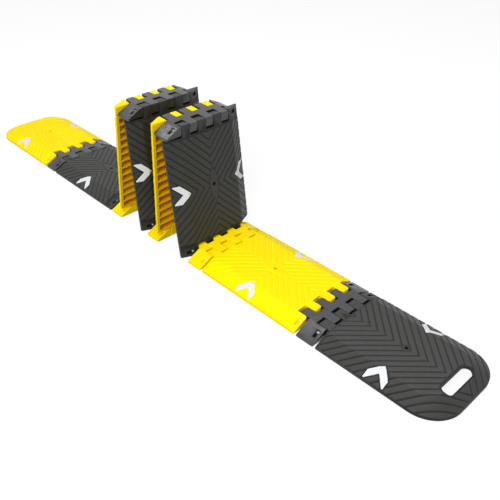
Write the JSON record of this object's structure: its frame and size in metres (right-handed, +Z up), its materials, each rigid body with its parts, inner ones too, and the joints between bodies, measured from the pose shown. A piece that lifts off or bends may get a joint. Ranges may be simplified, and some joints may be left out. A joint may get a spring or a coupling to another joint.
{
  "type": "portable speed bump",
  "caption": "Folding speed bump: ridged yellow and black panels and short links pinned end to end as a concertina strip, with white arrow markers and a hand slot at one end.",
  "frame": {"origin": "on the floor under the middle of the half-folded bump, halfway between its two outer ends and its two long edges", "axes": "+X along the bump towards the end with the hand slot, +Y across it in the direction of traffic, +Z up"},
  "size_m": [1.8266, 0.24, 0.3509],
  "materials": {
    "yellow_plastic": "satin moulded plastic",
    "black_plastic": "satin moulded plastic",
    "steel": "bright zinc plated",
    "white_film": "reflective film"
  },
  "bodies": {
    "panel_1": {"panel_1": "yellow_plastic", "markers_1": "white_film", "pin_1": "steel"},
    "link_1": {"link_1": "black_plastic", "pin_2": "steel"},
    "panel_2": {"panel_2": "black_plastic", "markers_2": "white_film", "pin_3": "steel"},
    "link_2": {"link_2": "yellow_plastic", "pin_4": "steel"},
    "panel_3": {"panel_3": "yellow_plastic", "markers_3": "white_film", "pin_5": "steel"},
    "link_3": {"link_3": "black_plastic", "pin_6": "steel"},
    "panel_4": {"panel_4": "black_plastic", "markers_4": "white_film", "pin_7": "steel"},
    "link_4": {"link_4": "yellow_plastic", "pin_8": "steel"},
    "panel_5": {"panel_5": "yellow_plastic", "markers_5": "white_film", "pin_9": "steel"},
    "link_5": {"link_5": "black_plastic", "pin_10": "steel"},
    "panel_6": {"panel_6": "black_plastic", "markers_6": "white_film", "pin_11": "steel"},
    "link_6": {"link_6": "yellow_plastic", "pin_12": "steel"},
    "panel_7": {"panel_7": "yellow_plastic", "markers_7": "white_film", "pin_13": "steel"},
    "link_7": {"link_7": "black_plastic", "pin_14": "steel"},
    "panel_8": {"panel_8": "black_plastic", "markers_8": "white_film"}
  },
  "joints": [
    {"name": "hinge_13", "type": "hinge", "parent": "panel_7", "child": "link_7", "pos_m": [0.52533, 0, 0.0135], "axis": [0, 1, 0], "range_deg": [0, 90]},
    {"name": "hinge_14", "type": "hinge", "parent": "link_7", "child": "panel_8", "pos_m": [0.58132, 0, 0.0135], "axis": [0, 1, 0], "range_deg": [0, 90]},
    {"name": "hinge_12", "type": "hinge", "parent": "panel_7", "child": "link_6", "pos_m": [0.20133, 0, 0.0135], "axis": [0, 1, 0], "range_deg": [0, 90]},
    {"name": "hinge_11", "type": "hinge", "parent": "link_6", "child": "panel_6", "pos_m": [0.14533, 0, 0.0135], "axis": [0, 1, 0], "range_deg": [-81.8, 8.2]},
    {"name": "hinge_10", "type": "hinge", "parent": "panel_6", "child": "link_5", "pos_m": [0.09911, 0, 0.33419], "axis": [0, -1, 0], "range_deg": [-78.86, 11.14]},
    {"name": "hinge_9", "type": "hinge", "parent": "link_5", "child": "panel_5", "pos_m": [0.04319, 0, 0.33706], "axis": [0, -1, 0], "range_deg": [-89.94, 0]},
    {"name": "hinge_8", "type": "hinge", "parent": "panel_5", "child": "link_4", "pos_m": [0.02623, 0, 0.0135], "axis": [0, 1, 0], "range_deg": [-87, 3]},
    {"name": "hinge_7", "type": "hinge", "parent": "link_4", "child": "panel_4", "pos_m": [-0.02977, 0, 0.0135], "axis": [0, 1, 0], "range_deg": [-85.75, 4.25]},
    {"name": "hinge_6", "type": "hinge", "parent": "panel_4", "child": "link_3", "pos_m": [-0.05378, 0, 0.33661], "axis": [0, -1, 0], "range_deg": [-86.84, 3.16]},
    {"name": "hinge_5", "type": "hinge", "parent": "link_3", "child": "panel_3", "pos_m": [-0.10977, 0, 0.33554], "axis": [0, -1, 0], "range_deg": [-82.61, 7.39]},
    {"name": "hinge_4", "type": "hinge", "parent": "panel_3", "child": "link_2", "pos_m": [-0.14533, 0, 0.0135], "axis": [0, 1, 0], "range_deg": [-83.7, 6.3]},
    {"name": "hinge_3", "type": "hinge", "parent": "link_2", "child": "panel_2", "pos_m": [-0.20133, 0, 0.0135], "axis": [0, 1, 0], "range_deg": [0, 90]},
    {"name": "hinge_2", "type": "hinge", "parent": "panel_2", "child": "link_1", "pos_m": [-0.52533, 0, 0.0135], "axis": [0, -1, 0], "range_deg": [0, 90]},
    {"name": "hinge_1", "type": "hinge", "parent": "link_1", "child": "panel_1", "pos_m": [-0.58132, 0, 0.0135], "axis": [0, -1, 0], "range_deg": [0, 90]}
  ]
}
